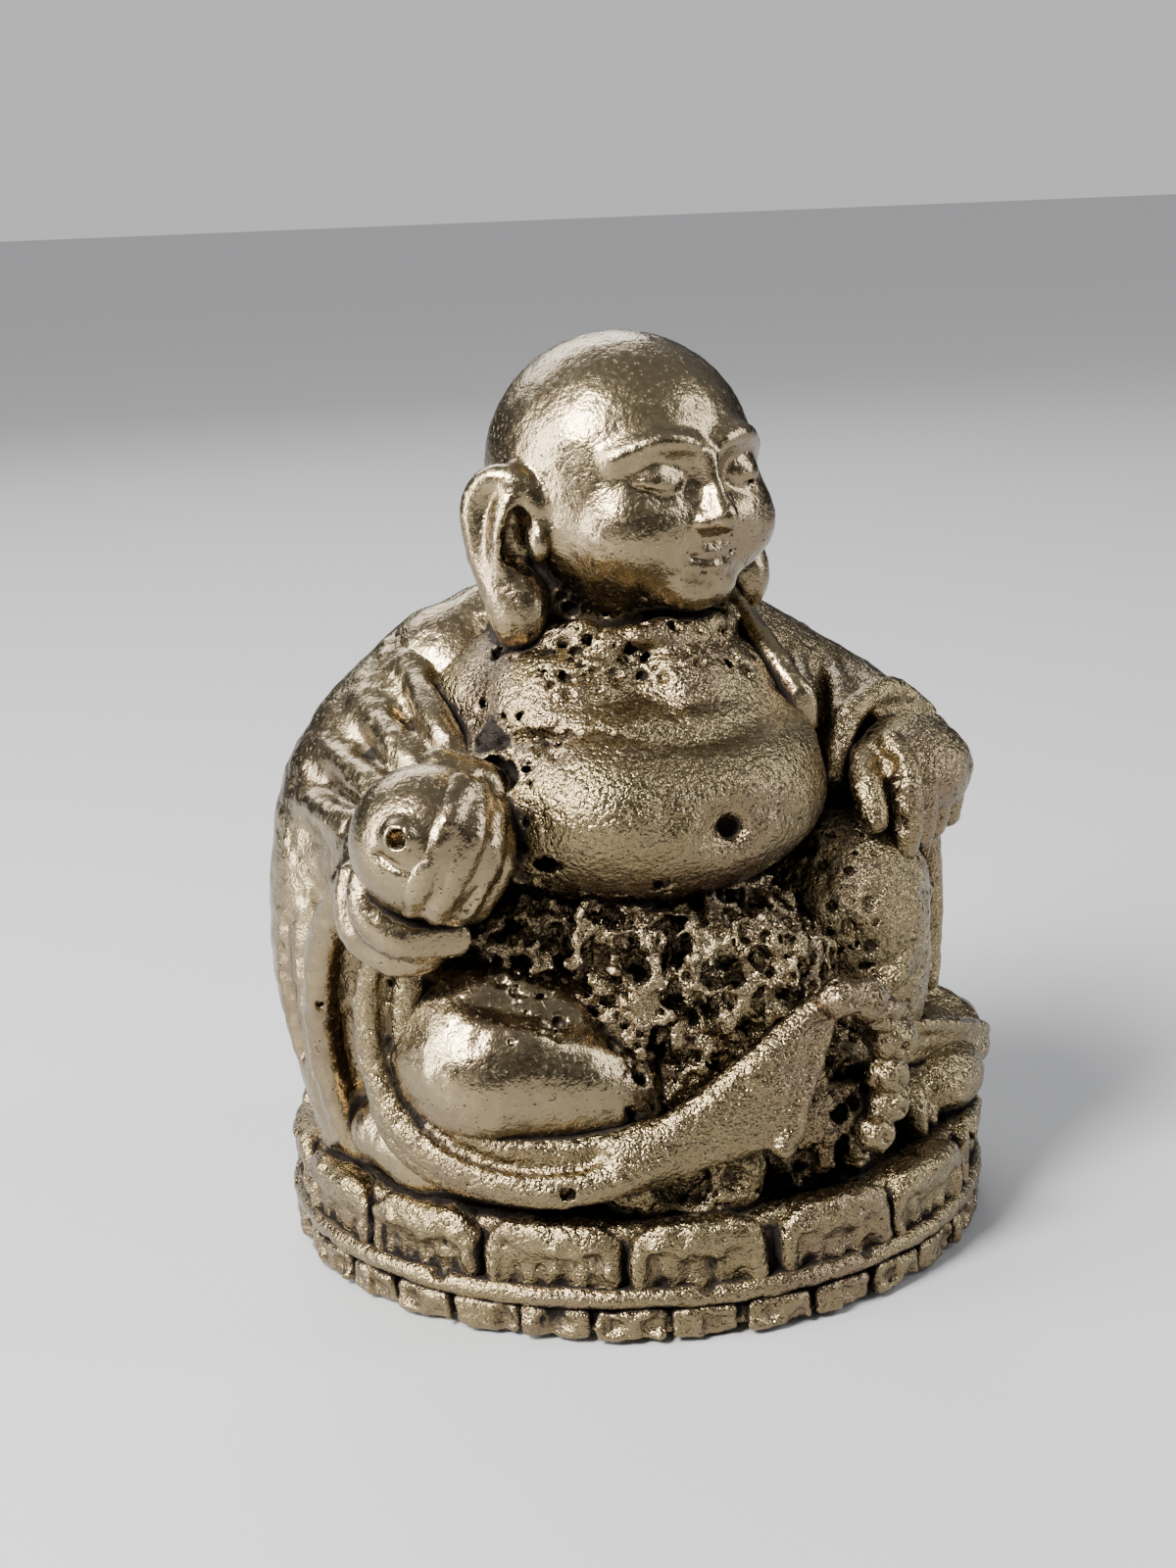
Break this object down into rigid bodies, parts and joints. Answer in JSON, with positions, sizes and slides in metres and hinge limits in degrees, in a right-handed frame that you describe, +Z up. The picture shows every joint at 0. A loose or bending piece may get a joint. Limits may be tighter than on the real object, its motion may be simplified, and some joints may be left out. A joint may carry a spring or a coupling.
{
  "type": "aquarium bubbling ornament",
  "caption": "Seated laughing-monk figure in an open robe on a round petal plinth, with porous lap outlet and a rear air inlet for bubbling in an aquarium.",
  "frame": {"origin": "middle of the underside, on the surface that the pad rests on", "axes": "+Z up, the figure faces -Y, and its right hand is towards -X"},
  "size_m": [0.0661, 0.0727, 0.0802],
  "materials": {
    "bright_plating": "champagne metal plating, smooth and glossy on the high places, with black patina in the recesses",
    "grained_plating": "the same plating over a fine, sparkling grain",
    "dark_froth": "plated froth of open cells, black inside",
    "screw_steel": "stainless",
    "black_rubber": "matt black",
    "black_plastic": "satin black",
    "blue_stone": "sintered blue grit"
  },
  "bodies": {
    "ornament": {"plinth": "grained_plating", "foot_ring": "grained_plating", "cover_plate": "black_plastic", "non_slip_pad": "black_rubber", "cover_screw_1": "screw_steel", "cover_screw_2": "screw_steel", "cover_screw_3": "screw_steel", "stone_holder": "black_plastic", "air_stone": "blue_stone", "inlet_grommet": "black_rubber", "head": "bright_plating", "torso": "grained_plating", "right_hand": "bright_plating", "held_peach": "bright_plating", "left_hand": "grained_plating", "right_knee": "bright_plating", "left_knee": "grained_plating", "bead_string": "grained_plating", "treasure_sack": "grained_plating", "right_foot": "grained_plating", "left_foot": "grained_plating", "right_sleeve": "bright_plating", "left_sleeve": "grained_plating", "robe_back": "bright_plating", "robe_hem": "grained_plating", "lap_froth": "dark_froth"},
    "inlet": {"inlet_elbow": "black_plastic"},
    "bung": {"access_bung": "black_rubber"}
  },
  "joints": [
    {"name": "inlet_swivel", "type": "hinge", "parent": "ornament", "child": "inlet", "pos_m": [0, 0.034, 0.0046], "axis": [0, 1, 0], "range_deg": [-80, 80]},
    {"name": "bung_pull", "type": "slide", "parent": "ornament", "child": "bung", "axis": [0, 0, -1], "range_m": [0, 0.012]}
  ]
}
